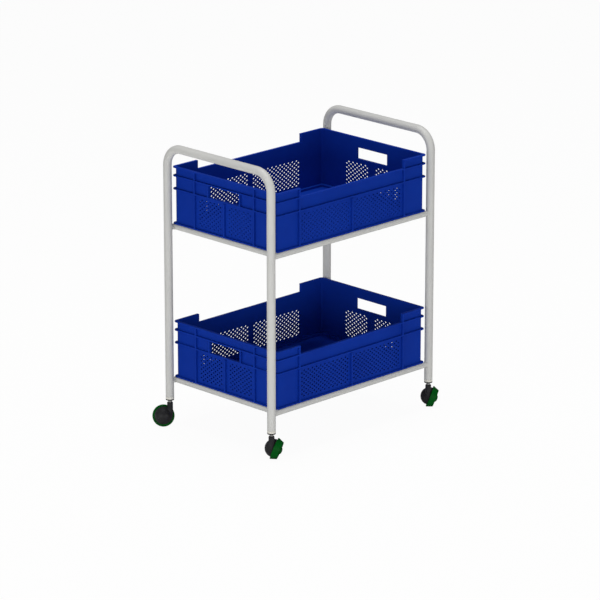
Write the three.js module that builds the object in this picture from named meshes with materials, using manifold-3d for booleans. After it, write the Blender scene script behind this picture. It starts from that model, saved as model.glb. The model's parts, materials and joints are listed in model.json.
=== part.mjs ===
// Two-shelf transport cart: a bent-tube frame on four swivel casters that carries
// two lift-out plastic crates. Millimetres, +Z up. The origin is on the floor under
// the middle of the cart's outline, and +X runs along the crates' long sides.

import * as THREE from 'three';
import { mergeVertices } from 'three/addons/utils/BufferGeometryUtils.js';
import { ConvexGeometry } from 'three/addons/geometries/ConvexGeometry.js';
import Module from 'manifold-3d';

const wasm = await Module();
wasm.setup();

// Driving dimensions: frame
const seatGap = 0.3;
const overrun = 2;
const overallHeight = 840;
const legRadius = 12;
const legWall = 2;
const hoopBendRadius = 54;
const railRadius = 8;
const railWall = 1.5;
const lowerShelfHeight = 144;
const upperShelfHeight = 599;
const frameOffsetX = -5;
const frameOffsetY = -12;

// Driving dimensions: crate
const crateLength = 600;
const crateWidth = 420;
const crateHeight = 168;
const flangeOverhang = 6.5;
const flangeThick = 4;
const flangeCornerRadius = 11;
const crateWall = 2.5;
const crateCornerRadius = 8;
const crateFloorThick = 3;
const crateFootDepth = 7;
const middleFlangeShare = 0.6;
const sideRimDrop = 25;
const ribThick = 5;
const longRibPlace = 208.5;
const shortRibPlace = 119;
const handleRibPlace = 63.5;
const holeColumnPitch = 26.5;
const holeWidth = 29;
const holeCentreShare = 0.52;
const holeRowShare = 0.29;
const holeHeightShare = 0.22;

// Driving dimensions: how the frame holds a crate
const crateEndPlay = 6;
const endRailInset = 5;
const sideRailInset = 3;
const footEndPlay = 3;
const footSidePlay = 5;

// Driving dimensions: caster
const wheelInnerRadius = 32.4;
const wheelWidth = 18.5;
const wheelTiltDegrees = 20.5;
const wheelTrail = 19;
const wheelOffset = 3.3;
const wheelEdge = 1;
const hubRadius = 9;
const hubGrooveRadius = 17;
const hubGrooveDepth = 8;
const capPocketRadius = 8.4;
const capPocketDepth = 5;
const capRadius = 10.5;
const capHeight = 5;
const capPlugDepth = 1.2;
const capWall = 1.6;
const hoodRadius = 26;
const hoodSetBack = 1;
const hoodGap = 0.6;
const neckRadius = 8.5;
const neckTopHeight = 72.4;
const neckTopEdge = 1.5;
const neckRootHeight = 38;
const axleRadius = 4;
const axleReachIn = 18;
const journalClearance = 0.2;
const clipRadius = 6.6;
const clipThick = 1;
const clipGrooveDepth = 0.8;
const clipSetBack = 3;
const stemRadius = 5.5;
const stemJournalRadius = 4.5;
const stemJournalLength = 20;
const stemLength = 60;
const stemBoreSpare = 2;
const bareStemLength = 7;
const gripGrooveInset = 14.5;
const gripGrooveDepth = 1;
const gripThick = 1.6;
const gripMouthDegrees = 40;
const socketCollarHeight = 6.5;
const socketPlugLength = 28;
const socketStemClearance = 0.4;
const washerThick = 3;
const washerRadius = 11.9;

// How finely round shapes are cut
const tubeSides = 20;
const bendSteps = 6;
const railSides = 16;
const cornerSteps = 4;
const domeSteps = 4;
const wheelSides = 28;
const fittingSides = 16;
const gripRingSteps = 12;
const hoodSides = 20;
const hoodRings = 10;

// The perforated panels have one coarse opening for about a dozen fine ones
const longPanelColumns = 7;
const shortPanelColumns = 3;
const panelRows = 3;

const quarterTurn = Math.PI / 2;
const fullTurn = 2 * Math.PI;
// three.js cuts an arc into twice the number of segments it is given
const arcSegmentsPerStep = 0.5;
const wheelTilt = THREE.MathUtils.degToRad(wheelTiltDegrees);

// The legs end where the caster does: above its neck come a stretch of bare stem, the
// washer and the socket's collar. The grip ring sits a little way up inside the leg
const legFootHeight = neckTopHeight + bareStemLength + washerThick + socketCollarHeight + 2 * seatGap;
const gripGrooveHeight = legFootHeight + gripGrooveInset;

// The frame is built round the crates: the legs stand off their ends, the rails run
// under their edges and their feet drop inside the rails
const hoopSpacing = crateLength + 2 * (crateEndPlay + legRadius);
const legSpacing = crateWidth - 2 * sideRailInset;
const endRailPlace = crateLength / 2 - endRailInset;
const footHalfLength = endRailPlace - railRadius - footEndPlay;
const footHalfWidth = legSpacing / 2 - railRadius - footSidePlay;

const middleFlangeHeight = middleFlangeShare * crateHeight;
const sideRimHeight = crateHeight - sideRimDrop;
const cutDownHalfLength = longRibPlace - ribThick / 2;
const handleHalfWidth = handleRibPlace - ribThick / 2;
const wheelHeight = wheelInnerRadius * Math.cos(wheelTilt);

const corners = [
  { name: 'left_front', x: -hoopSpacing / 2, y: -legSpacing / 2, swivelDegrees: -57 },
  { name: 'right_front', x: hoopSpacing / 2, y: -legSpacing / 2, swivelDegrees: -51 },
  { name: 'left_rear', x: -hoopSpacing / 2, y: legSpacing / 2, swivelDegrees: 48 },
  { name: 'right_rear', x: hoopSpacing / 2, y: legSpacing / 2, swivelDegrees: 150 },
];

const finish = {
  frame: { color: 0xc3c4c4, roughness: 0.45, metalness: 0.1 },
  crate: { color: 0x0a2a96, roughness: 0.45, metalness: 0 },
  socket: { color: 0xdcdcd6, roughness: 0.6, metalness: 0 },
  black: { color: 0x1d1d20, roughness: 0.6, metalness: 0 },
  steel: { color: 0x9c9c98, roughness: 0.35, metalness: 0.9 },
  wheel: { color: 0x0a5a1c, roughness: 0.5, metalness: 0 },
};

function part(name, geometry, look) {
  const mesh = new THREE.Mesh(geometry, new THREE.MeshStandardMaterial(finish[look]));
  mesh.name = name;
  return mesh;
}

function solid(geometry) {
  const bare = geometry.clone();
  bare.deleteAttribute('normal');
  bare.deleteAttribute('uv');
  const merged = mergeVertices(bare);
  return new wasm.Manifold(new wasm.Mesh({
    numProp: 3,
    vertProperties: new Float32Array(merged.attributes.position.array),
    triVerts: new Uint32Array(merged.index.array),
  }));
}

function shell(manifold) {
  const { vertProperties, triVerts } = manifold.getMesh();
  const geometry = new THREE.BufferGeometry();
  geometry.setAttribute('position', new THREE.BufferAttribute(vertProperties, 3));
  geometry.setIndex(new THREE.BufferAttribute(triVerts, 1));
  geometry.computeVertexNormals();
  return geometry;
}

function joined(geometries) {
  return geometries.map(solid).reduce((whole, piece) => whole.add(piece));
}

// A box between two corners
function block(low, high) {
  const geometry = new THREE.BoxGeometry(high[0] - low[0], high[1] - low[1], high[2] - low[2]);
  return geometry.translate((low[0] + high[0]) / 2, (low[1] + high[1]) / 2, (low[2] + high[2]) / 2);
}

// A solid of revolution about Z from points [radius, height], from the bottom up
function turned(points, sides) {
  const profile = points.map(([radius, height]) => new THREE.Vector2(radius, height));
  return new THREE.LatheGeometry(profile, sides).rotateX(quarterTurn);
}

function disc(radius, bottom, top, sides) {
  return turned([[0, bottom], [radius, bottom], [radius, top], [0, top]], sides);
}

// A ring about Z, closed on itself
function collar(innerRadius, outerRadius, bottom, top, sides) {
  const points = [[innerRadius, top], [innerRadius, bottom], [outerRadius, bottom], [outerRadius, top]];
  return turned([...points, points[0]], sides);
}

// A rounded rectangle, centred, standing from one height to another
function roundedSlab(halfLength, halfWidth, radius, bottom, top) {
  const shape = new THREE.Shape();
  const x = halfLength - radius;
  const y = halfWidth - radius;
  shape.absarc(x, y, radius, 0, quarterTurn);
  shape.absarc(-x, y, radius, quarterTurn, 2 * quarterTurn);
  shape.absarc(-x, -y, radius, 2 * quarterTurn, 3 * quarterTurn);
  shape.absarc(x, -y, radius, 3 * quarterTurn, fullTurn);
  const curveSegments = cornerSteps * arcSegmentsPerStep;
  const settings = { depth: top - bottom, bevelEnabled: false, curveSegments };
  return new THREE.ExtrudeGeometry(shape, settings).translate(0, 0, bottom);
}

// The centre line of one end frame: up a leg, across the top and down the other leg.
// Its stations lie at the ends of the straights and along the bends only.
class HoopLine extends THREE.Curve {
  constructor() {
    super();
    const reach = legSpacing / 2;
    const rise = overallHeight - legRadius;
    this.stations = [new THREE.Vector3(0, -reach, legFootHeight)];
    for (const side of [-1, 1]) {
      for (let step = 0; step <= bendSteps; step += 1) {
        const angle = quarterTurn * (side < 0 ? step : bendSteps - step) / bendSteps;
        this.stations.push(new THREE.Vector3(
          0,
          side * (reach - hoopBendRadius + hoopBendRadius * Math.cos(angle)),
          rise - hoopBendRadius + hoopBendRadius * Math.sin(angle),
        ));
      }
    }
    this.stations.push(new THREE.Vector3(0, reach, legFootHeight));
  }

  getPoint(share) {
    const place = share * (this.stations.length - 1);
    const index = Math.min(Math.floor(place), this.stations.length - 2);
    return this.stations[index].clone().lerp(this.stations[index + 1], place - index);
  }

  getPointAt(share) {
    return this.getPoint(share);
  }

  getSpacedPoints() {
    return this.stations.map((station) => station.clone());
  }

  getTangentAt(share) {
    const last = this.stations.length - 1;
    const index = Math.round(share * last);
    const before = this.stations[Math.max(index - 1, 0)];
    const after = this.stations[Math.min(index + 1, last)];
    const here = this.stations[index];
    const arriving = here.clone().sub(before).normalize();
    const leaving = after.clone().sub(here).normalize();
    return arriving.add(leaving).normalize();
  }
}

function tubeSection(radius, wall) {
  const section = new THREE.Shape();
  section.absarc(0, 0, radius, 0, fullTurn);
  const bore = new THREE.Path();
  bore.absarc(0, 0, radius - wall, 0, fullTurn);
  section.holes.push(bore);
  return section;
}

function hoop() {
  const line = new HoopLine();
  return new THREE.ExtrudeGeometry(tubeSection(legRadius, legWall), {
    steps: line.stations.length - 1,
    curveSegments: tubeSides * arcSegmentsPerStep,
    extrudePath: line,
  });
}

// A straight tube along X or Y, its ends coped round the two tubes that it meets
function copedRail(along, length, carrierRadius) {
  const reach = length / 2;
  const tube = solid(collar(railRadius - railWall, railRadius, -reach, reach, railSides));
  const carriers = [-1, 1].map((side) => {
    const carrier = disc(carrierRadius + seatGap, -2 * carrierRadius, 2 * carrierRadius, tubeSides);
    return solid(carrier.rotateY(quarterTurn).translate(0, 0, side * reach));
  });
  const coped = carriers.reduce((left, carrier) => left.subtract(carrier), tube);
  const geometry = shell(coped);
  return along === 'x' ? geometry.rotateY(quarterTurn) : geometry.rotateX(quarterTurn);
}

function shelfRails(level, shelfHeight) {
  const rails = new THREE.Group();
  const height = shelfHeight - railRadius - seatGap;
  for (const [side, place] of [['front', -1], ['rear', 1]]) {
    const rail = part(`${level}_${side}_rail`, copedRail('x', hoopSpacing, legRadius), 'frame');
    rail.position.set(0, place * legSpacing / 2, height);
    rails.add(rail);
  }
  for (const [side, place] of [['left', -1], ['right', 1]]) {
    const rail = part(`${level}_${side}_rail`, copedRail('y', legSpacing, railRadius), 'frame');
    rail.position.set(place * endRailPlace, 0, height);
    rails.add(rail);
  }
  return rails;
}

// Diamonds that pierce both opposite walls of a crate, in two panels side by side.
// Every other column stands half a row higher and has one opening less.
function perforations(panelPlace, columns, reach, turn) {
  const height = holeHeightShare * middleFlangeHeight;
  const shape = new THREE.Shape();
  shape.moveTo(-holeWidth / 2, 0);
  shape.lineTo(0, -height / 2);
  shape.lineTo(holeWidth / 2, 0);
  shape.lineTo(0, height / 2);
  const settings = { depth: 2 * reach, bevelEnabled: false };
  const diamond = new THREE.ExtrudeGeometry(shape, settings).rotateX(quarterTurn).translate(0, reach, 0);
  const holes = [];
  for (const side of [-1, 1]) {
    for (let column = 0; column < columns; column += 1) {
      const across = side * panelPlace + (column - (columns - 1) / 2) * holeColumnPitch;
      const rows = panelRows - column % 2;
      for (let row = 0; row < rows; row += 1) {
        const place = holeCentreShare + (row - (rows - 1) / 2) * holeRowShare;
        holes.push(diamond.clone().translate(across, 0, place * middleFlangeHeight).rotateZ(turn));
      }
    }
  }
  return holes;
}

function crate() {
  const halfLength = crateLength / 2;
  const halfWidth = crateWidth / 2;
  const bodyX = halfLength - flangeOverhang;
  const bodyY = halfWidth - flangeOverhang;
  const flanges = [
    0,
    middleFlangeHeight,
    sideRimHeight - flangeThick,
    crateHeight - flangeThick,
  ];
  const solids = [
    roundedSlab(bodyX, bodyY, crateCornerRadius, 0, crateHeight),
    roundedSlab(footHalfLength, footHalfWidth, crateCornerRadius, -crateFootDepth, crateWall),
  ];
  for (const bottom of flanges) {
    solids.push(roundedSlab(halfLength, halfWidth, flangeCornerRadius, bottom, bottom + flangeThick));
  }
  const ribRoot = crateWall / 2;
  for (const [place, top] of [
    [-longRibPlace, crateHeight],
    [0, middleFlangeHeight],
    [longRibPlace, crateHeight],
  ]) {
    for (const side of [-1, 1]) {
      const faces = [side * (bodyY - ribRoot), side * halfWidth].sort((a, b) => a - b);
      solids.push(block(
        [place - ribThick / 2, faces[0], flangeThick / 2],
        [place + ribThick / 2, faces[1], top - flangeThick / 2],
      ));
    }
  }
  const endRibs = [
    [-shortRibPlace, 0, crateHeight],
    [0, 0, middleFlangeHeight],
    [shortRibPlace, 0, crateHeight],
    [-handleRibPlace, middleFlangeHeight, sideRimHeight],
    [handleRibPlace, middleFlangeHeight, sideRimHeight],
  ];
  for (const [place, bottom, top] of endRibs) {
    for (const side of [-1, 1]) {
      const faces = [side * (bodyX - ribRoot), side * halfLength].sort((a, b) => a - b);
      solids.push(block(
        [faces[0], place - ribThick / 2, bottom + flangeThick / 2],
        [faces[1], place + ribThick / 2, top - flangeThick / 2],
      ));
    }
  }
  const innerRadius = crateCornerRadius - crateWall;
  const floorTop = crateFloorThick - crateFootDepth;
  const cuts = [
    roundedSlab(bodyX - crateWall, bodyY - crateWall, innerRadius, crateWall, crateHeight + overrun),
    roundedSlab(
      footHalfLength - crateWall,
      footHalfWidth - crateWall,
      innerRadius,
      floorTop,
      crateWall + overrun,
    ),
    block(
      [-cutDownHalfLength, -halfWidth - overrun, sideRimHeight],
      [cutDownHalfLength, halfWidth + overrun, crateHeight + overrun],
    ),
    block(
      [-halfLength - overrun, -handleHalfWidth, middleFlangeHeight + flangeThick],
      [halfLength + overrun, handleHalfWidth, sideRimHeight - flangeThick],
    ),
    ...perforations(longRibPlace / 2, longPanelColumns, halfWidth + overrun, 0),
    ...perforations(shortRibPlace / 2, shortPanelColumns, halfLength + overrun, quarterTurn),
  ];
  return shell(joined(solids).subtract(joined(cuts)));
}

// The tread is a cone whose lowest line lies flat on the floor
function treadRadius(station) {
  return wheelInnerRadius - station * Math.tan(wheelTilt);
}

// Wheel parts are turned about the axle, with zero at the wheel's inner face and the
// outer face at the wheel's width
function wheel() {
  const bore = axleRadius + journalClearance;
  return turned([
    [bore, wheelWidth - capPocketDepth],
    [bore, 0],
    [hubRadius, 0],
    [hubRadius, hubGrooveDepth],
    [hubGrooveRadius, hubGrooveDepth],
    [hubGrooveRadius, 0],
    [wheelInnerRadius - wheelEdge, 0],
    [treadRadius(wheelEdge), wheelEdge],
    [treadRadius(wheelWidth - wheelEdge), wheelWidth - wheelEdge],
    [treadRadius(wheelWidth) - wheelEdge, wheelWidth],
    [capPocketRadius, wheelWidth],
    [capPocketRadius, wheelWidth - capPocketDepth],
    [bore, wheelWidth - capPocketDepth],
  ], wheelSides);
}

function hubCap() {
  const seat = wheelWidth + seatGap;
  const plugRadius = capPocketRadius - seatGap;
  const points = [[plugRadius - capWall, wheelWidth - capPlugDepth], [plugRadius, wheelWidth - capPlugDepth]];
  points.push([plugRadius, seat]);
  for (let step = 0; step < domeSteps; step += 1) {
    const angle = quarterTurn * step / domeSteps;
    points.push([capRadius * Math.cos(angle), seat + capHeight * Math.sin(angle)]);
  }
  points.push([0, seat + capHeight]);
  points.push([0, seat + capWall]);
  points.push([plugRadius - capWall, seat + capWall]);
  points.push(points[0]);
  return turned(points, fittingSides);
}

function axle() {
  const end = wheelWidth - capPlugDepth - seatGap;
  const grooveTop = wheelWidth - clipSetBack + seatGap;
  const grooveBottom = grooveTop - clipThick - 2 * seatGap;
  const grooveRadius = axleRadius - clipGrooveDepth;
  return turned([
    [0, -axleReachIn],
    [axleRadius, -axleReachIn],
    [axleRadius, grooveBottom],
    [grooveRadius, grooveBottom],
    [grooveRadius, grooveTop],
    [axleRadius, grooveTop],
    [axleRadius, end],
    [0, end],
  ], fittingSides);
}

function axleClip() {
  const top = wheelWidth - clipSetBack;
  return collar(axleRadius - clipGrooveDepth + seatGap, clipRadius, top - clipThick, top, fittingSides);
}

// The place and turn of the axle inside a caster that points along +X
function onAxle(object) {
  object.position.set(wheelOffset, wheelTrail, wheelHeight);
  object.rotation.set(0, quarterTurn + wheelTilt, 0);
  return object;
}

// The hood is a ball behind the wheel, blended into the neck and cut flat at the wheel
function casterBody() {
  const points = [];
  const ball = new THREE.SphereGeometry(hoodRadius, hoodSides, hoodRings);
  const ballPlace = new THREE.Vector3(
    wheelOffset - hoodSetBack * Math.cos(wheelTilt),
    wheelTrail,
    wheelHeight + hoodSetBack * Math.sin(wheelTilt),
  );
  const root = new THREE.SphereGeometry(neckRadius, hoodSides, hoodRings);
  const rootPlace = new THREE.Vector3(0, 0, neckRootHeight);
  for (const [geometry, place] of [[ball, ballPlace], [root, rootPlace]]) {
    const { position } = geometry.rotateX(quarterTurn).attributes;
    for (let index = 0; index < position.count; index += 1) {
      points.push(new THREE.Vector3().fromBufferAttribute(position, index).add(place));
    }
  }
  const neck = turned([
    [0, neckRootHeight],
    [neckRadius, neckRootHeight],
    [neckRadius, neckTopHeight - neckTopEdge],
    [neckRadius - neckTopEdge, neckTopHeight],
    [0, neckTopHeight],
  ], hoodSides);
  const boreBottom = neckTopHeight - stemJournalLength - stemBoreSpare;
  const stemBore = disc(
    stemJournalRadius + journalClearance,
    boreBottom,
    neckTopHeight + overrun,
    fittingSides,
  );
  const reach = 2 * wheelInnerRadius;
  const wheelSpace = new THREE.Mesh(block([-reach, -reach, -hoodGap], [reach, reach, reach]));
  const axleBore = new THREE.Mesh(
    disc(axleRadius + seatGap, -axleReachIn - seatGap, overrun, fittingSides),
  );
  const cuts = [stemBore];
  for (const cut of [wheelSpace, axleBore]) {
    onAxle(cut).updateMatrix();
    cuts.push(cut.geometry.applyMatrix4(cut.matrix));
  }
  return shell(joined([new ConvexGeometry(points), neck]).subtract(joined(cuts)));
}

function stem() {
  const shoulder = neckTopHeight + seatGap;
  const top = shoulder + stemLength - stemJournalLength;
  const grooveRadius = stemRadius - gripGrooveDepth;
  const grooveTop = gripGrooveHeight + gripThick + 2 * seatGap;
  return turned([
    [0, neckTopHeight - stemJournalLength],
    [stemJournalRadius, neckTopHeight - stemJournalLength],
    [stemJournalRadius, shoulder],
    [stemRadius, shoulder],
    [stemRadius, gripGrooveHeight],
    [grooveRadius, gripGrooveHeight],
    [grooveRadius, grooveTop],
    [stemRadius, grooveTop],
    [stemRadius, top],
    [0, top],
  ], fittingSides);
}

// An open spring ring in the stem's groove, pressing on the socket's bore
function gripRing() {
  const half = THREE.MathUtils.degToRad(gripMouthDegrees) / 2;
  const inner = stemRadius - gripGrooveDepth + seatGap / 2;
  const outer = stemRadius + socketStemClearance / 2;
  const shape = new THREE.Shape();
  shape.absarc(0, 0, outer, half, fullTurn - half);
  shape.absarc(0, 0, inner, fullTurn - half, half, true);
  const curveSegments = gripRingSteps * arcSegmentsPerStep;
  const settings = { depth: gripThick, bevelEnabled: false, curveSegments };
  return new THREE.ExtrudeGeometry(shape, settings).translate(0, 0, gripGrooveHeight + seatGap);
}

// The plastic socket plugs the leg's end and shows as a pale collar below the tube
function socket() {
  const bore = stemRadius + socketStemClearance;
  const collarTop = legFootHeight - seatGap;
  const collarBottom = collarTop - socketCollarHeight;
  const plugRadius = legRadius - legWall - seatGap;
  const points = [
    [bore, collarTop + socketPlugLength],
    [bore, collarBottom],
    [legRadius, collarBottom],
    [legRadius, collarTop],
    [plugRadius, collarTop],
    [plugRadius, collarTop + socketPlugLength],
  ];
  return turned([...points, points[0]], fittingSides);
}

function socketWasher() {
  const top = legFootHeight - 2 * seatGap - socketCollarHeight;
  const bore = stemRadius + socketStemClearance;
  return collar(bore, washerRadius, top - washerThick, top, fittingSides);
}

function caster({ name, x, y, swivelDegrees }) {
  const fittings = new THREE.Group();
  fittings.position.set(x, y, 0);
  fittings.add(part(`socket_${name}`, socket(), 'socket'));
  fittings.add(part(`socket_washer_${name}`, socketWasher(), 'black'));
  fittings.add(part(`stem_${name}`, stem(), 'steel'));
  fittings.add(part(`grip_ring_${name}`, gripRing(), 'steel'));

  const swivel = new THREE.Group();
  swivel.rotation.z = THREE.MathUtils.degToRad(swivelDegrees);
  swivel.add(part(`caster_hood_${name}`, casterBody(), 'black'));
  swivel.add(onAxle(part(`axle_${name}`, axle(), 'steel')));
  swivel.add(onAxle(part(`axle_clip_${name}`, axleClip(), 'steel')));
  swivel.add(onAxle(part(`wheel_${name}`, wheel(), 'wheel')));
  swivel.add(onAxle(part(`hub_cap_${name}`, hubCap(), 'wheel')));
  fittings.add(swivel);
  return fittings;
}

// The casters reach farther out on some sides of the frame than on others
const cart = new THREE.Group();
cart.position.set(frameOffsetX, frameOffsetY, 0);

for (const [side, place] of [['left', -1], ['right', 1]]) {
  const frame = part(`hoop_${side}`, hoop(), 'frame');
  frame.position.x = place * hoopSpacing / 2;
  cart.add(frame);
}

for (const [level, shelfHeight] of [['lower', lowerShelfHeight], ['upper', upperShelfHeight]]) {
  cart.add(shelfRails(level, shelfHeight));
  const box = part(`${level}_crate`, crate(), 'crate');
  box.position.z = shelfHeight;
  cart.add(box);
}

for (const corner of corners) {
  cart.add(caster(corner));
}

export default cart;
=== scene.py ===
# Transport cart: a pale tube frame on four casters with green wheels, and a blue crate on
# each shelf. Lengths in the dictionaries are millimetres, and makePiece turns them to metres.
import json
import math

import bmesh
import bpy
from mathutils import Matrix, Vector


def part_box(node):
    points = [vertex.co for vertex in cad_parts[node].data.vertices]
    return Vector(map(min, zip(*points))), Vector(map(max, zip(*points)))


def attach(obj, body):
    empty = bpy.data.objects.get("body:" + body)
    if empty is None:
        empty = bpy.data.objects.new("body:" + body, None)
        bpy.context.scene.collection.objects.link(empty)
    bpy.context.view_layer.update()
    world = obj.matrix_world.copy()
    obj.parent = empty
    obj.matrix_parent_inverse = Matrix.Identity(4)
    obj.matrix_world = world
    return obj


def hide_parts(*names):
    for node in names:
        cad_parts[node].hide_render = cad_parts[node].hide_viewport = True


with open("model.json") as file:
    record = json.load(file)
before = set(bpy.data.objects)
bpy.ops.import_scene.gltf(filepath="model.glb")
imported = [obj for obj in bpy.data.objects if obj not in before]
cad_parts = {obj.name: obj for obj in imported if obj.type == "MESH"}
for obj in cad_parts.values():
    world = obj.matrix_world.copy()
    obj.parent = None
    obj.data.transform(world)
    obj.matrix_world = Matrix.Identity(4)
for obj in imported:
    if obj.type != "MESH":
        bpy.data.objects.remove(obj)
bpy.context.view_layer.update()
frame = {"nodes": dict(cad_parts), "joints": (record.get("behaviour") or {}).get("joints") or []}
joints = {joint["name"]: joint for joint in frame["joints"]}
mm = 0.001
quarterTurn = math.pi / 2
fullTurn = 2 * math.pi
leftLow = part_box("hoop_left")[0]
rightLow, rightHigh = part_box("hoop_right")
frameMiddle = (leftLow + rightHigh) / 2 / mm
frameMiddle.z = 0  # on the floor
print("frame loaded:", len(frame["nodes"]), "nodes")


# Camera

photoView = {
    "azimuth": -44.875,  # degrees round the cart from its long front side
    "elevation": 17.404,
    "distance": 10653,
    "aimHeight": 353,
    "lens": 223.9,
    "sensor": 36,
    "farthest": 100000,  # past the floor's far edge
}


def placeCamera(v):
    lens = bpy.data.cameras.new("photoCamera")
    lens.lens = v["lens"]
    lens.sensor_width = v["sensor"]
    lens.clip_end = v["farthest"] * mm
    camera = bpy.data.objects.new("photoCamera", lens)
    azimuth = math.radians(v["azimuth"])
    elevation = math.radians(v["elevation"])
    back = Vector((
        math.sin(azimuth) * math.cos(elevation),
        -math.cos(azimuth) * math.cos(elevation),
        math.sin(elevation),
    ))
    aim = frameMiddle + Vector((0, 0, v["aimHeight"]))
    camera.location = (aim + back * v["distance"]) * mm
    camera.rotation_euler = (-back).to_track_quat("-Z", "Y").to_euler()
    bpy.context.scene.collection.objects.link(camera)
    bpy.context.scene.camera = camera


placeCamera(photoView)
print("camera placed")


# Materials

def hexColor(text):
    channels = [int(text[place:place + 2], 16) / 255 for place in (1, 3, 5)]
    # The sRGB standard's curve, from the written colour to linear light
    linear = [c / 12.92 if c <= 0.04045 else ((c + 0.055) / 1.055) ** 2.4 for c in channels]
    return (*linear, 1)


def addNode(owner, kind, settings=None, values=None, links=None):
    tree = owner.node_tree
    node = tree.nodes.new(kind)
    for name, value in (settings or {}).items():
        setattr(node, name, value)
    for name, value in (values or {}).items():
        node.inputs[name].default_value = value
    for name, source in (links or {}).items():
        tree.links.new(source, node.inputs[name])
    return node


# How each finish varies over its surface, which noise drives
mottle = {
    "low": 0.3,  # noise below this shows the first colour or roughness of a pair
    "high": 0.7,  # noise above this shows the second
    "patchDetail": 2,
    "smudgeDetail": 4,
    "grainDetail": 3,
}


def finishedSurface(look):
    material = bpy.data.materials.new(look["name"])
    material.use_nodes = True
    tree = material.node_tree
    surface = tree.nodes["Principled BSDF"]
    place = addNode(material, "ShaderNodeTexCoord").outputs["Object"]
    patches = addNode(
        material, "ShaderNodeTexNoise",
        values={"Scale": 1 / (look["patch"] * mm), "Detail": mottle["patchDetail"]},
        links={"Vector": place},
    )
    color = addNode(material, "ShaderNodeValToRGB", links={"Fac": patches.outputs["Fac"]})
    stops = zip(color.color_ramp.elements, ("color", "otherColor"), ("low", "high"))
    for stop, name, end in stops:
        stop.color = hexColor(look[name])
        stop.position = mottle[end]
    tree.links.new(color.outputs["Color"], surface.inputs["Base Color"])
    smudges = addNode(
        material, "ShaderNodeTexNoise",
        values={"Scale": 1 / (look["smudge"] * mm), "Detail": mottle["smudgeDetail"]},
        links={"Vector": place},
    )
    sheen = addNode(
        material, "ShaderNodeMapRange",
        values={
            "From Min": mottle["low"],
            "From Max": mottle["high"],
            "To Min": look["rough"][0],
            "To Max": look["rough"][1],
        },
        links={"Value": smudges.outputs["Fac"]},
    )
    tree.links.new(sheen.outputs["Result"], surface.inputs["Roughness"])
    grain = addNode(
        material, "ShaderNodeTexNoise",
        values={"Scale": 1 / (look["grain"] * mm), "Detail": mottle["grainDetail"]},
        links={"Vector": place},
    )
    relief = addNode(
        material, "ShaderNodeBump",
        values={"Strength": look["relief"], "Distance": look["reliefDepth"] * mm},
        links={"Height": grain.outputs["Fac"]},
    )
    tree.links.new(relief.outputs["Normal"], surface.inputs["Normal"])
    surface.inputs["Metallic"].default_value = look["metallic"]
    surface.inputs["IOR"].default_value = look["ior"]
    surface.inputs["Specular IOR Level"].default_value = look["specular"]
    return material


# Polyester powder coat on steel tube: an even pale grey, a soft sheen and the faint
# orange peel that the powder leaves where it flowed out
powderCoat = finishedSurface({
    "name": "powderCoatedSteel", "color": "#c8c8c5", "otherColor": "#c4c4c2", "patch": 160,
    "smudge": 60, "rough": (0.38, 0.44), "grain": 1.8, "relief": 0.12, "reliefDepth": 0.08,
    "metallic": 0, "ior": 1.5, "specular": 0.3,
})

# Moulded polypropylene: deep even blue, a waxy sheen and the fine grain of the mould
polypropylene = finishedSurface({
    "name": "mouldedPolypropylene", "color": "#0c339b", "otherColor": "#0b2f94", "patch": 120,
    "smudge": 40, "rough": (0.54, 0.66), "grain": 0.9, "relief": 0.3, "reliefDepth": 0.08,
    "metallic": 0, "ior": 1.49, "specular": 0.04,
})

# Natural polyamide, undyed: milky white, slightly waxy
naturalNylon = finishedSurface({
    "name": "naturalNylon", "color": "#dedcd4", "otherColor": "#d6d4ca", "patch": 20,
    "smudge": 8, "rough": (0.45, 0.6), "grain": 0.6, "relief": 0.2, "reliefDepth": 0.05,
    "metallic": 0, "ior": 1.53, "specular": 0.3,
})

# Glass-filled black polyamide: satin, with a fine mottled skin
filledNylon = finishedSurface({
    "name": "glassFilledNylon", "color": "#252527", "otherColor": "#1e1e20", "patch": 12,
    "smudge": 9, "rough": (0.4, 0.58), "grain": 0.5, "relief": 0.35, "reliefDepth": 0.06,
    "metallic": 0, "ior": 1.53, "specular": 0.15,
})

# Zinc plate on turned steel: bright grey with soft streaks
zincPlate = finishedSurface({
    "name": "zincPlatedSteel", "color": "#aaaaa6", "otherColor": "#9a9a97", "patch": 6,
    "smudge": 3, "rough": (0.3, 0.45), "grain": 0.4, "relief": 0.2, "reliefDepth": 0.03,
    "metallic": 1, "ior": 1.5, "specular": 0.5,
})

# Dyed polyamide wheel: hard and satin, with a rubbed tread
greenNylon = finishedSurface({
    "name": "dyedNylonWheel", "color": "#005215", "otherColor": "#004612", "patch": 14,
    "smudge": 7, "rough": (0.34, 0.52), "grain": 0.7, "relief": 0.3, "reliefDepth": 0.06,
    "metallic": 0, "ior": 1.53, "specular": 0.05,
})
print("materials made")


# Mesh helpers

meshing = {
    "edgeSegments": 2,  # round a bevelled edge
    "cornerSegments": 6,  # round an upright corner
    "mergeDistance": 0.001,
    "smoothBelow": 35,  # degrees between two faces
}


def makePiece(name, bm, material, body, replaced=(), smoothBelow=meshing["smoothBelow"]):
    bmesh.ops.scale(bm, vec=(mm, mm, mm), verts=bm.verts)
    for face in bm.faces:
        face.smooth = True
    for edge in bm.edges:
        edge.smooth = edge.calc_face_angle(0) < math.radians(smoothBelow)
    mesh = bpy.data.meshes.new(name)
    bm.to_mesh(mesh)
    bm.free()
    mesh.materials.append(material)
    piece = bpy.data.objects.new(name, mesh)
    bpy.context.scene.collection.objects.link(piece)
    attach(piece, body)
    if replaced:
        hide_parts(*replaced)
    return piece


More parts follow.
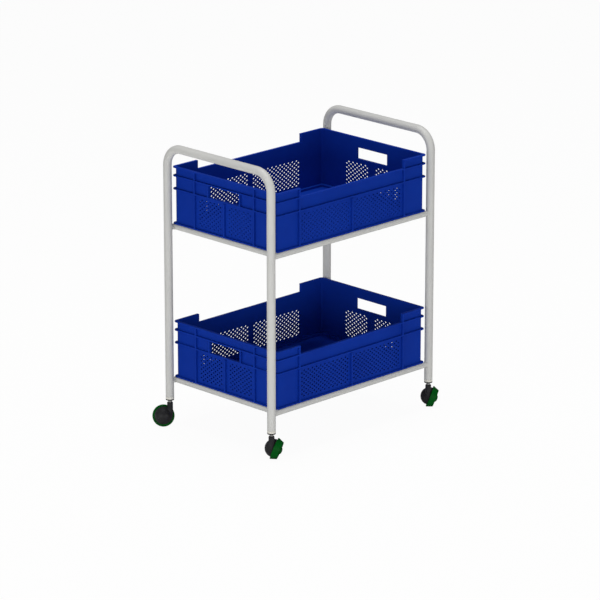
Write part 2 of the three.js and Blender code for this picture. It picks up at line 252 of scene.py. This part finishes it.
# Runs one modifier over the first form. The second, if there is one, is what it acts with
def shaped(kind, settings, *forms):
    holders = []
    for bm in forms:
        mesh = bpy.data.meshes.new("scratch")
        bm.to_mesh(mesh)
        bm.free()
        holders.append(bpy.data.objects.new("scratch", mesh))
        bpy.context.scene.collection.objects.link(holders[-1])
    modifier = holders[0].modifiers.new("shaping", kind)
    for name, value in settings.items():
        setattr(modifier, name, value)
    if len(holders) > 1:
        modifier.object = holders[1]
    result = bmesh.new()
    result.from_object(holders[0], bpy.context.evaluated_depsgraph_get())
    for holder in holders:
        mesh = holder.data
        bpy.data.objects.remove(holder)
        bpy.data.meshes.remove(mesh)
    return result


def added(base, piece):
    return shaped("BOOLEAN", {"operation": "UNION", "solver": "MANIFOLD"}, base, piece)


def cutBy(base, piece):
    return shaped("BOOLEAN", {"operation": "DIFFERENCE", "solver": "MANIFOLD"}, base, piece)


def block(low, high, edge=0):
    bm = bmesh.new()
    bmesh.ops.create_cube(bm, size=1)
    bmesh.ops.scale(bm, vec=[b - a for a, b in zip(low, high)], verts=bm.verts)
    bmesh.ops.translate(bm, vec=[(a + b) / 2 for a, b in zip(low, high)], verts=bm.verts)
    if edge:
        bmesh.ops.bevel(
            bm, geom=bm.edges[:], offset=edge, affect="EDGES",
            segments=meshing["edgeSegments"], profile=0.5, material=-1,
        )
    return bm


def roundedSlab(halfLength, halfWidth, radius, bottom, top, edge=0):
    bm = block((-halfLength, -halfWidth, bottom), (halfLength, halfWidth, top))
    upright = [e for e in bm.edges if abs(e.verts[0].co.z - e.verts[1].co.z) > (top - bottom) / 2]
    bmesh.ops.bevel(
        bm, geom=upright, offset=radius, affect="EDGES",
        segments=meshing["cornerSegments"], profile=0.5, material=-1,
    )
    if edge:
        level = [e for e in bm.edges if abs(e.verts[0].co.z - e.verts[1].co.z) < edge]
        bmesh.ops.bevel(
            bm, geom=level, offset=edge, affect="EDGES",
            segments=meshing["edgeSegments"], profile=0.5, material=-1,
        )
    return bm


# A profile of radii and heights, turned about Z
def turned(profile, steps):
    bm = bmesh.new()
    verts = [bm.verts.new((radius, 0, height)) for radius, height in profile]
    pairs = list(zip(verts, verts[1:]))
    if profile[0][0] > 0:
        pairs.append((verts[-1], verts[0]))  # a ring's outline closes on itself
    edges = [bm.edges.new(pair) for pair in pairs]
    bmesh.ops.spin(
        bm, geom=verts + edges, cent=(0, 0, 0), axis=(0, 0, 1), angle=fullTurn, steps=steps,
        use_merge=True,
    )
    bmesh.ops.remove_doubles(bm, verts=bm.verts, dist=meshing["mergeDistance"])
    bmesh.ops.recalc_face_normals(bm, faces=bm.faces)
    return bm


# Points along an arc, from the start angle to the end angle in degrees
def arc(centre, radius, start, end, steps):
    turns = [math.radians(start + (end - start) * step / steps) for step in range(steps + 1)]
    return [(centre[0] + radius * math.cos(t), centre[1] + radius * math.sin(t)) for t in turns]


def rod(axis, radius, halfLength, sides, centre=(0, 0, 0)):
    turns = {
        "x": Matrix.Rotation(quarterTurn, 4, "Y"),
        "y": Matrix.Rotation(quarterTurn, 4, "X"),
        "z": Matrix.Identity(4),
    }
    bm = bmesh.new()
    bmesh.ops.create_cone(
        bm, cap_ends=True, segments=sides, radius1=radius, radius2=radius, depth=2 * halfLength,
        matrix=Matrix.Translation(centre) @ turns[axis],
    )
    return bm


# Crates

crateSizes = {
    "height": 168,
    "overhang": 6.5,  # how far the flanges stand out from the wall
    "flange": 4,
    "flangeRadius": 11,
    "flangeEdge": 0.9,
    "wall": 2.5,
    "wallRadius": 8,
    "footDepth": 7,
    "footInset": 16,
    "floor": 3,
    "middleFlange": 100.8,  # height of its underside
    "sideRim": 143,  # height of the long sides where they are cut down
    "rib": 5,
    "ribEdge": 0.8,
    "longRib": 208.5,  # this and the next two are places along a side, from its middle
    "endRib": 119,
    "gripRib": 63.5,
    "overrun": 3,
}

perforations = {
    "columnPitch": 8.25,
    "rowPitch": 12.4,
    "halfWidth": 3.9,
    "halfHeight": 3,
    "middle": 52.4,  # height of the middle row
    "rows": 7,
    "longPanel": 104,  # a panel's place along its side, from the side's middle
    "longColumns": 23,
    "endPanel": 59.5,
    "endColumns": 11,
}


def ribbed(shell, c, halfX, halfY):
    wallX = halfX - c["overhang"] - c["wall"] / 2
    wallY = halfY - c["overhang"] - c["wall"] / 2
    half = c["rib"] / 2
    sunk = c["flange"] / 2
    longRibs = [(-c["longRib"], c["height"]), (0, c["middleFlange"]), (c["longRib"], c["height"])]
    endRibs = [
        (-c["endRib"], 0, c["height"]),
        (0, 0, c["middleFlange"]),
        (c["endRib"], 0, c["height"]),
        (-c["gripRib"], c["middleFlange"], c["sideRim"]),
        (c["gripRib"], c["middleFlange"], c["sideRim"]),
    ]
    for side in (-1, 1):
        for place, top in longRibs:
            inner, outer = sorted((side * wallY, side * halfY))
            shell = added(shell, block(
                (place - half, inner, sunk),
                (place + half, outer, top - sunk),
                c["ribEdge"],
            ))
        for place, bottom, top in endRibs:
            inner, outer = sorted((side * wallX, side * halfX))
            shell = added(shell, block(
                (inner, place - half, bottom + sunk),
                (outer, place + half, top - sunk),
                c["ribEdge"],
            ))
    return shell


def diamonds(p, panel, columns, reach, turn):
    bm = bmesh.new()
    lying = Matrix.Rotation(quarterTurn, 4, "X")
    shape = Matrix.Diagonal((p["halfWidth"], p["halfHeight"], 1, 1))
    for panelSide in (-1, 1):
        for column in range(columns):
            across = panelSide * panel + (column - (columns - 1) / 2) * p["columnPitch"]
            rows = p["rows"] - (column + 1) % 2  # every other column has one hole less
            for row in range(rows):
                height = p["middle"] + (row - (rows - 1) / 2) * p["rowPitch"]
                place = Matrix.Translation((across, 0, height)) @ lying
                bmesh.ops.create_cone(
                    bm, cap_ends=True, segments=4, radius1=1, radius2=1, depth=2 * reach,
                    matrix=turn @ place @ shape,
                )
    return bm


def crateMoulding(c, p, halfX, halfY):
    wallX = halfX - c["overhang"]
    wallY = halfY - c["overhang"]
    footX = halfX - c["footInset"]
    footY = halfY - c["footInset"]
    shell = roundedSlab(wallX, wallY, c["wallRadius"], 0, c["height"])
    foot = roundedSlab(footX, footY, c["wallRadius"], -c["footDepth"], c["wall"], c["flangeEdge"])
    shell = added(shell, foot)
    for bottom in (0, c["middleFlange"], c["sideRim"] - c["flange"], c["height"] - c["flange"]):
        shell = added(shell, roundedSlab(
            halfX, halfY, c["flangeRadius"], bottom, bottom + c["flange"], c["flangeEdge"],
        ))
    shell = ribbed(shell, c, halfX, halfY)
    over = c["overrun"]
    top = c["height"] + over
    innerRadius = c["wallRadius"] - c["wall"]
    footFloor = c["floor"] - c["footDepth"]
    cutDown = c["longRib"] - c["rib"] / 2
    grip = c["gripRib"] - c["rib"] / 2
    across = Matrix.Rotation(quarterTurn, 4, "Z")
    cuts = [
        roundedSlab(wallX - c["wall"], wallY - c["wall"], innerRadius, c["wall"], top),
        roundedSlab(footX - c["wall"], footY - c["wall"], innerRadius, footFloor, top),
        block((-cutDown, -halfY - over, c["sideRim"]), (cutDown, halfY + over, top)),
        block(
            (-halfX - over, -grip, c["middleFlange"] + c["flange"]),
            (halfX + over, grip, c["sideRim"] - c["flange"]),
        ),
        diamonds(p, p["longPanel"], p["longColumns"], halfY + over, Matrix.Identity(4)),
        diamonds(p, p["endPanel"], p["endColumns"], halfX + over, across),
    ]
    for cut in cuts:
        shell = cutBy(shell, cut)
    return shell


def makeCrates(c, p):
    low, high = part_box("lower_crate")
    half = (high - low) / 2 / mm
    moulding = crateMoulding(c, p, half.x, half.y)
    for node in ("lower_crate", "upper_crate"):
        low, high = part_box(node)
        place = (low + high) / 2 / mm
        place.z = high.z / mm - c["height"]
        bm = moulding.copy()
        bmesh.ops.translate(bm, vec=place, verts=bm.verts)
        piece = makePiece(node + "_moulding", bm, polypropylene, node + "_body", [node])
        even = piece.modifiers.new("evenShading", "WEIGHTED_NORMAL")
        even.keep_sharp = True
    moulding.free()


makeCrates(crateSizes, perforations)
print("crates made")


# Frame

tubeSizes = {
    "legRadius": 12,
    "legWall": 2,
    "footDepth": 34,  # how deep a leg's open end is
    "bendRadius": 54,
    "bendSteps": 20,
    "railRadius": 8,
    "sides": 40,
    "smoothBelow": 60,
    "gap": 0.05,  # between a rail's end and the tube that it meets
    "cutterReach": 3,  # how far a rail's end cutter runs each way, in that tube's radii
}

weldSizes = {
    "radius": 1.4,
    "ripple": 0.14,  # share of the radius
    "rippleLength": 1.6,
    "stepsPerRipple": 3,
    "bevelResolution": 2,
    "smoothBelow": 60,
}


def hoopTube(node, t):
    low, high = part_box(node)
    x = (low.x + high.x) / 2 / mm
    y = (low.y + high.y) / 2 / mm
    foot = low.z / mm
    reach = high.y / mm - y - t["legRadius"]
    shoulder = high.z / mm - t["legRadius"] - t["bendRadius"]
    bm = bmesh.new()
    ring = bmesh.ops.create_circle(bm, segments=t["sides"], radius=t["legRadius"])["verts"]
    bmesh.ops.translate(bm, vec=(x, y - reach, foot), verts=ring)
    firstRim = bm.edges[:]

    def straight(rim, step):
        drawn = bmesh.ops.extrude_edge_only(bm, edges=rim)["geom"]
        verts = [g for g in drawn if isinstance(g, bmesh.types.BMVert)]
        bmesh.ops.translate(bm, vec=step, verts=verts)
        return [g for g in drawn if isinstance(g, bmesh.types.BMEdge)]

    def bend(rim, centre):
        drawn = bmesh.ops.spin(
            bm, geom=rim, cent=centre, axis=(-1, 0, 0), angle=quarterTurn, steps=t["bendSteps"],
        )["geom_last"]
        return [g for g in drawn if isinstance(g, bmesh.types.BMEdge)]

    rim = straight(firstRim, (0, 0, shoulder - foot))
    rim = bend(rim, (x, y - reach + t["bendRadius"], shoulder))
    rim = straight(rim, (0, 2 * (reach - t["bendRadius"]), 0))
    rim = bend(rim, (x, y + reach - t["bendRadius"], shoulder))
    rim = straight(rim, (0, 0, foot - shoulder))
    for end in (firstRim, rim):
        cap = bmesh.ops.contextual_create(bm, geom=end)["faces"]
        bmesh.ops.inset_region(bm, faces=cap, thickness=t["legWall"], use_even_offset=True)
        floor = bmesh.ops.extrude_discrete_faces(bm, faces=cap)["faces"]
        bmesh.ops.translate(bm, vec=(0, 0, t["footDepth"]), verts=floor[0].verts)
    bmesh.ops.recalc_face_normals(bm, faces=bm.faces)
    return bm


def weldBead(name, axis, side, reach, middle, carrierRadius, railRadius, w):
    ripples = round(fullTurn * railRadius / w["rippleLength"])
    steps = ripples * w["stepsPerRipple"]
    curve = bpy.data.curves.new(name, "CURVE")
    curve.dimensions = "3D"
    curve.bevel_depth = w["radius"]
    curve.bevel_resolution = w["bevelResolution"]
    line = curve.splines.new("POLY")
    line.points.add(steps - 1)
    line.use_cyclic_u = True
    for step, point in enumerate(line.points):
        turn = fullTurn * step / steps
        across = railRadius * math.cos(turn)
        up = railRadius * math.sin(turn)
        offCentre = across if axis == "x" else up
        along = side * (reach - math.sqrt(max(carrierRadius ** 2 - offCentre ** 2, 0)))
        place = (along, across, up) if axis == "x" else (across, along, up)
        point.co = (*(Vector(place) + middle), 1)
        point.radius = 1 + w["ripple"] * math.sin(fullTurn * ripples * step / steps)
    holder = bpy.data.objects.new(name, curve)
    bpy.context.scene.collection.objects.link(holder)
    evaluated = holder.evaluated_get(bpy.context.evaluated_depsgraph_get())
    bm = bmesh.new()
    bm.from_mesh(evaluated.to_mesh())
    evaluated.to_mesh_clear()
    bpy.data.objects.remove(holder)
    bpy.data.curves.remove(curve)
    bmesh.ops.recalc_face_normals(bm, faces=bm.faces)
    makePiece(name, bm, powderCoat, "frame", smoothBelow=w["smoothBelow"])


def makeRail(level, side, t, w):
    node = level + "_" + side + "_rail"
    low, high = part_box(node)
    middle = (low + high) / 2 / mm
    if side in ("front", "rear"):
        axis, carrierAxis, carrierRadius = "x", "z", t["legRadius"]
        reach = (rightLow.x + rightHigh.x) / 2 / mm - frameMiddle.x
    else:
        axis, carrierAxis, carrierRadius = "y", "x", t["railRadius"]
        carrierLow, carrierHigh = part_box(level + "_rear_rail")
        reach = (carrierLow.y + carrierHigh.y) / 2 / mm - frameMiddle.y
    bm = rod(axis, t["railRadius"], reach, t["sides"])
    for end in (-1, 1):
        centre = (end * reach, 0, 0) if axis == "x" else (0, end * reach, 0)
        cutter = rod(
            carrierAxis, carrierRadius + t["gap"], t["cutterReach"] * carrierRadius, 2 * t["sides"],
            centre,
        )
        bm = cutBy(bm, cutter)
        weldBead(
            node + ("_weld_a" if end < 0 else "_weld_b"), axis, end, reach, middle, carrierRadius,
            t["railRadius"], w,
        )
    bmesh.ops.translate(bm, vec=middle, verts=bm.verts)
    makePiece(node + "_tube", bm, powderCoat, "frame", [node], t["smoothBelow"])


for side in ("left", "right"):
    node = "hoop_" + side
    makePiece(
        node + "_tube", hoopTube(node, tubeSizes), powderCoat, "frame", [node],
        tubeSizes["smoothBelow"],
    )
for level in ("lower", "upper"):
    for side in ("front", "rear", "left", "right"):
        makeRail(level, side, tubeSizes, weldSizes)
print("frame made")


# Casters

fittingSizes = {
    "sides": 64,
    "collarRadius": 12,
    "collarEdge": 0.8,
    "plugRadius": 9.7,
    "plugLength": 28,
    "bore": 5.9,
    "washerEdge": 0.4,
    "stemRadius": 5.5,
    "journalRadius": 4.5,
    "journalLength": 20.3,
    "stemEdge": 0.6,
    "grooveHeight": 104,
    "grooveWidth": 2.2,
    "grooveDepth": 1,
    "edgeSteps": 3,
    "collarEdgeSteps": 4,
}

wheelSizes = {
    "sides": 96,
    "radius": 32.4,  # at the inner face; the tread narrows outwards
    "width": 18.5,
    "edge": 1.1,
    "bore": 4.2,
    "hubRadius": 9,
    "grooveRadius": 17,
    "grooveDepth": 8,
    "dishRadius": 12.6,
    "dishDepth": 1.2,
    "capPocket": 8.4,
    "pocketDepth": 5,
    "capRadius": 10.5,
    "capHeight": 5,
    "capGap": 0.3,
    "capPlug": 8.1,
    "capPlugDepth": 1.2,
    "capWall": 1.6,
    "edgeSteps": 5,
    "domeSteps": 12,
}

hoodSizes = {
    "ballRadius": 26,
    "ballBack": 1,  # behind the wheel's inner face
    "gap": 0.6,
    "neckRadius": 8.5,
    "neckTop": 72.4,
    "neckEdge": 1.5,
    "neckEdgeSteps": 4,
    "neckRoot": 38,
    "stemBore": 4.7,
    "stemBoreDepth": 22,
    "axleBore": 4.3,
    "axleBoreDepth": 18.3,
    "wheelSpace": 78,  # the block cut away for the wheel reaches this far each way
    "ballSubdivisions": 5,
    "voxel": 0.8,  # the joined ball and neck are remeshed at this size, then smoothed
    "smoothPasses": 10,
    "smoothFactor": 0.5,
}


# A caster's own frame has the swivel's axis as Z and its heading as X. The axle's frame
# has the axle as Z, with zero at the wheel's inner face
def casterPlaces(corner):
    stand = joints[corner + "_swivel"]["pos_m"]
    axle = joints[corner + "_roll"]
    outward = Vector(axle["axis"])
    heading = Matrix.Rotation(math.atan2(outward.y, outward.x), 4, "Z")
    lean = Matrix.Rotation(quarterTurn + math.asin(-outward.z), 4, "Y")
    standPlace = Matrix.Translation((stand[0] / mm, stand[1] / mm, 0)) @ heading
    axlePlace = Matrix.Translation(Vector(axle["pos_m"]) / mm) @ heading @ lean
    return standPlace, axlePlace


def socketForm(f, node):
    low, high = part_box(node)
    bottom = low.z / mm
    top = high.z / mm
    shoulder = top - f["plugLength"]
    edge = f["collarEdge"]
    return turned([
        (f["bore"], top),
        (f["bore"], bottom),
        *arc((f["collarRadius"] - edge, bottom + edge), edge, -90, 0, f["collarEdgeSteps"]),
        (f["collarRadius"], shoulder),
        (f["plugRadius"], shoulder),
        (f["plugRadius"], top),
    ], f["sides"])


def washerForm(f, node):
    low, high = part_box(node)
    bottom = low.z / mm
    top = high.z / mm
    edge = f["washerEdge"]
    radius = (high.x - low.x) / 2 / mm - edge
    return turned([
        (f["bore"], top),
        (f["bore"], bottom),
        *arc((radius, bottom + edge), edge, -90, 0, f["edgeSteps"]),
        *arc((radius, top - edge), edge, 0, 90, f["edgeSteps"]),
    ], f["sides"])


def stemForm(f, node):
    low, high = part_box(node)
    bottom = low.z / mm
    top = high.z / mm
    shoulder = bottom + f["journalLength"]
    edge = f["stemEdge"]
    groove = f["grooveHeight"]
    grooveRadius = f["stemRadius"] - f["grooveDepth"]
    return turned([
        (0, bottom),
        (f["journalRadius"], bottom),
        (f["journalRadius"], shoulder),
        *arc((f["stemRadius"] - edge, shoulder + edge), edge, -90, 0, f["edgeSteps"]),
        (f["stemRadius"], groove),
        (grooveRadius, groove),
        (grooveRadius, groove + f["grooveWidth"]),
        (f["stemRadius"], groove + f["grooveWidth"]),
        *arc((f["stemRadius"] - edge, top - edge), edge, 0, 90, f["edgeSteps"]),
        (0, top),
    ], f["sides"])


def wheelForm(w, lean):
    def tread(station):
        return w["radius"] - station * math.tan(lean)

    edge = w["edge"]
    turn = math.degrees(lean)
    inset = edge / math.cos(lean)
    outer = w["width"] - edge
    rim = arc((tread(outer) - inset, outer), edge, turn, 90, w["edgeSteps"])
    return turned([
        (w["bore"], w["width"] - w["pocketDepth"]),
        (w["bore"], 0),
        (w["hubRadius"], 0),
        (w["hubRadius"], w["grooveDepth"]),
        (w["grooveRadius"], w["grooveDepth"]),
        (w["grooveRadius"], 0),
        *arc((tread(edge) - inset, edge), edge, -90, turn, w["edgeSteps"]),
        *rim,
        (rim[-1][0] - edge, w["width"] - w["dishDepth"]),
        (w["dishRadius"], w["width"] - w["dishDepth"]),
        (w["dishRadius"] - w["dishDepth"] / 2, w["width"]),
        (w["capPocket"], w["width"]),
        (w["capPocket"], w["width"] - w["pocketDepth"]),
    ], w["sides"])


def capForm(w):
    seat = w["width"] + w["capGap"]
    inner = w["capPlug"] - w["capWall"]
    foot = w["width"] - w["capPlugDepth"]
    dome = [
        (w["capRadius"] * radius, seat + w["capHeight"] * height)
        for radius, height in arc((0, 0), 1, 90, 0, w["domeSteps"])
    ]
    return turned([
        (0, seat + w["capHeight"]),
        *dome[1:],
        (w["capPlug"], seat),
        (w["capPlug"], foot),
        (inner, foot),
        (inner, seat + w["capWall"]),
        (0, seat + w["capWall"]),
    ], w["sides"])


def hoodForm(h, axleFrame, sides):
    hull = bmesh.new()
    ball = axleFrame @ Matrix.Translation((0, 0, -h["ballBack"]))
    root = Matrix.Translation((0, 0, h["neckRoot"]))
    for place, radius in ((ball, h["ballRadius"]), (root, h["neckRadius"])):
        bmesh.ops.create_icosphere(
            hull, subdivisions=h["ballSubdivisions"], radius=radius, matrix=place,
        )
    bmesh.ops.delete(hull, geom=hull.edges[:] + hull.faces[:], context="EDGES_FACES")
    made = bmesh.ops.convex_hull(hull, input=hull.verts[:], use_existing_faces=False)
    bmesh.ops.delete(hull, geom=made["geom_interior"], context="VERTS")
    edge = h["neckEdge"]
    neck = turned([
        (0, h["neckRoot"]),
        (h["neckRadius"], h["neckRoot"]),
        *arc((h["neckRadius"] - edge, h["neckTop"] - edge), edge, 0, 90, h["neckEdgeSteps"]),
        (0, h["neckTop"]),
    ], sides)
    bm = added(hull, neck)
    bm = shaped("REMESH", {"mode": "VOXEL", "voxel_size": h["voxel"]}, bm)
    for smoothPass in range(h["smoothPasses"]):
        bmesh.ops.smooth_vert(
            bm, verts=bm.verts, factor=h["smoothFactor"],
            use_axis_x=True, use_axis_y=True, use_axis_z=True,
        )
    reach = h["wheelSpace"]
    wheelSpace = block((-reach, -reach, -h["gap"]), (reach, reach, reach))
    bmesh.ops.transform(wheelSpace, matrix=axleFrame, verts=wheelSpace.verts)
    axleBore = rod("z", h["axleBore"], h["axleBoreDepth"], sides)
    bmesh.ops.transform(axleBore, matrix=axleFrame, verts=axleBore.verts)
    stemBore = rod("z", h["stemBore"], h["stemBoreDepth"], sides, (0, 0, h["neckTop"]))
    for cut in (wheelSpace, axleBore, stemBore):
        bm = cutBy(bm, cut)
    return bm


def placed(form, place):
    bm = form.copy()
    bmesh.ops.transform(bm, matrix=place, verts=bm.verts)
    return bm


def makeCasters(f, w, h):
    firstStand, firstAxle = casterPlaces("left_front")
    hood = hoodForm(h, firstStand.inverted() @ firstAxle, f["sides"])
    wheel = wheelForm(w, math.asin(-joints["left_front_roll"]["axis"][2]))
    cap = capForm(w)
    for corner in ("left_front", "right_front", "left_rear", "right_rear"):
        stand, axle = casterPlaces(corner)
        swivel = "swivel_" + corner
        roller = "roller_" + corner
        pieces = [
            ("socket", socketForm(f, "socket_" + corner), stand, naturalNylon, "frame", "socket"),
            ("socket_washer", washerForm(f, "socket_washer_" + corner), stand, filledNylon, "frame",
             "black_plastic"),
            ("stem", stemForm(f, "stem_" + corner), stand, zincPlate, "frame", "steel"),
            ("caster_hood", hood, stand, filledNylon, swivel, "black_plastic"),
            ("wheel", wheel, axle, greenNylon, roller, "wheel"),
            ("hub_cap", cap, axle, greenNylon, roller, "wheel"),
        ]
        for kind, form, place, material, body, slotName in pieces:
            node = kind + "_" + corner
            makePiece(node + "_form", placed(form, place), material, body, [node])
        # The hidden fittings keep their CAD meshes
        for kind in ("grip_ring_", "axle_", "axle_clip_"):
            for slot in frame["nodes"][kind + corner].material_slots:
                slot.material = zincPlate


makeCasters(fittingSizes, wheelSizes, hoodSizes)
print("casters made")


# Studio

studio = {
    "floorRadius": 9000,
    "floorSides": 96,
    "floorColor": "#f2f2f0",
    "floorRough": 0.9,
    "floorSeenColor": "#ffffff",
    "floorWhiteShare": 0.96,  # how much of the colour above a camera sees on the floor
    "worldColor": "#ffffff",
    "worldStrength": 0.22,
    "backdropColor": "#fdfdfd",  # what a camera sees of the world
    "panelWidth": 2600,
    "panelHeight": 1500,
    "panelDistance": 4500,
    "panels": [  # name, azimuth, height in degrees, watts
        ("leftPanel", -85, 3, 62),
        ("middlePanel", -45, 3, 30),
        ("rightPanel", -5, 3, 54),
        ("topPanel", -45, 90, 124),
    ],
}


def makeFloor(s):
    bm = bmesh.new()
    bmesh.ops.create_circle(
        bm, cap_ends=True, segments=s["floorSides"], radius=s["floorRadius"] * mm,
    )
    mesh = bpy.data.meshes.new("studioFloor")
    bm.to_mesh(mesh)
    bm.free()
    floor = bpy.data.objects.new("studioFloor", mesh)
    bpy.context.scene.collection.objects.link(floor)
    material = bpy.data.materials.new("paleFloor")
    material.use_nodes = True
    tree = material.node_tree
    surface = tree.nodes["Principled BSDF"]
    surface.inputs["Base Color"].default_value = hexColor(s["floorColor"])
    surface.inputs["Roughness"].default_value = s["floorRough"]
    ray = addNode(material, "ShaderNodeLightPath")
    share = addNode(
        material, "ShaderNodeMath", settings={"operation": "MULTIPLY"},
        values={1: s["floorWhiteShare"]}, links={0: ray.outputs["Is Camera Ray"]},
    )
    white = addNode(
        material, "ShaderNodeEmission",
        values={"Color": hexColor(s["floorSeenColor"]), "Strength": 1},
    )
    blend = addNode(
        material, "ShaderNodeMixShader",
        links={0: share.outputs[0], 1: surface.outputs["BSDF"], 2: white.outputs["Emission"]},
    )
    tree.links.new(blend.outputs["Shader"], tree.nodes["Material Output"].inputs["Surface"])
    mesh.materials.append(material)


def makeWorld(s):
    world = bpy.data.worlds.new("studioWorld")
    world.use_nodes = True
    bpy.context.scene.world = world
    tree = world.node_tree
    soft = tree.nodes["Background"]
    soft.inputs["Color"].default_value = hexColor(s["worldColor"])
    soft.inputs["Strength"].default_value = s["worldStrength"]
    backdrop = hexColor(s["backdropColor"])
    white = addNode(world, "ShaderNodeBackground", values={"Color": backdrop, "Strength": 1})
    ray = addNode(world, "ShaderNodeLightPath")
    blend = addNode(
        world, "ShaderNodeMixShader",
        links={
            0: ray.outputs["Is Camera Ray"],
            1: soft.outputs["Background"],
            2: white.outputs["Background"],
        },
    )
    tree.links.new(blend.outputs["Shader"], tree.nodes["World Output"].inputs["Surface"])


def makeLamps(s):
    aim = (frameMiddle + Vector((0, 0, photoView["aimHeight"]))) * mm
    for name, azimuth, height, watts in s["panels"]:
        light = bpy.data.lights.new(name, "AREA")
        light.shape = "RECTANGLE"
        light.size = s["panelWidth"] * mm
        light.size_y = s["panelHeight"] * mm
        light.energy = watts
        lamp = bpy.data.objects.new(name, light)
        turn = math.radians(azimuth)
        rise = math.radians(height)
        outward = Vector((
            math.sin(turn) * math.cos(rise), -math.cos(turn) * math.cos(rise), math.sin(rise),
        ))
        lamp.location = aim + outward * s["panelDistance"] * mm
        lamp.rotation_euler = (-outward).to_track_quat("-Z", "Y").to_euler()
        bpy.context.scene.collection.objects.link(lamp)


makeFloor(studio)
makeWorld(studio)
makeLamps(studio)
bpy.context.scene.view_settings.view_transform = "Standard"
print("studio lit")
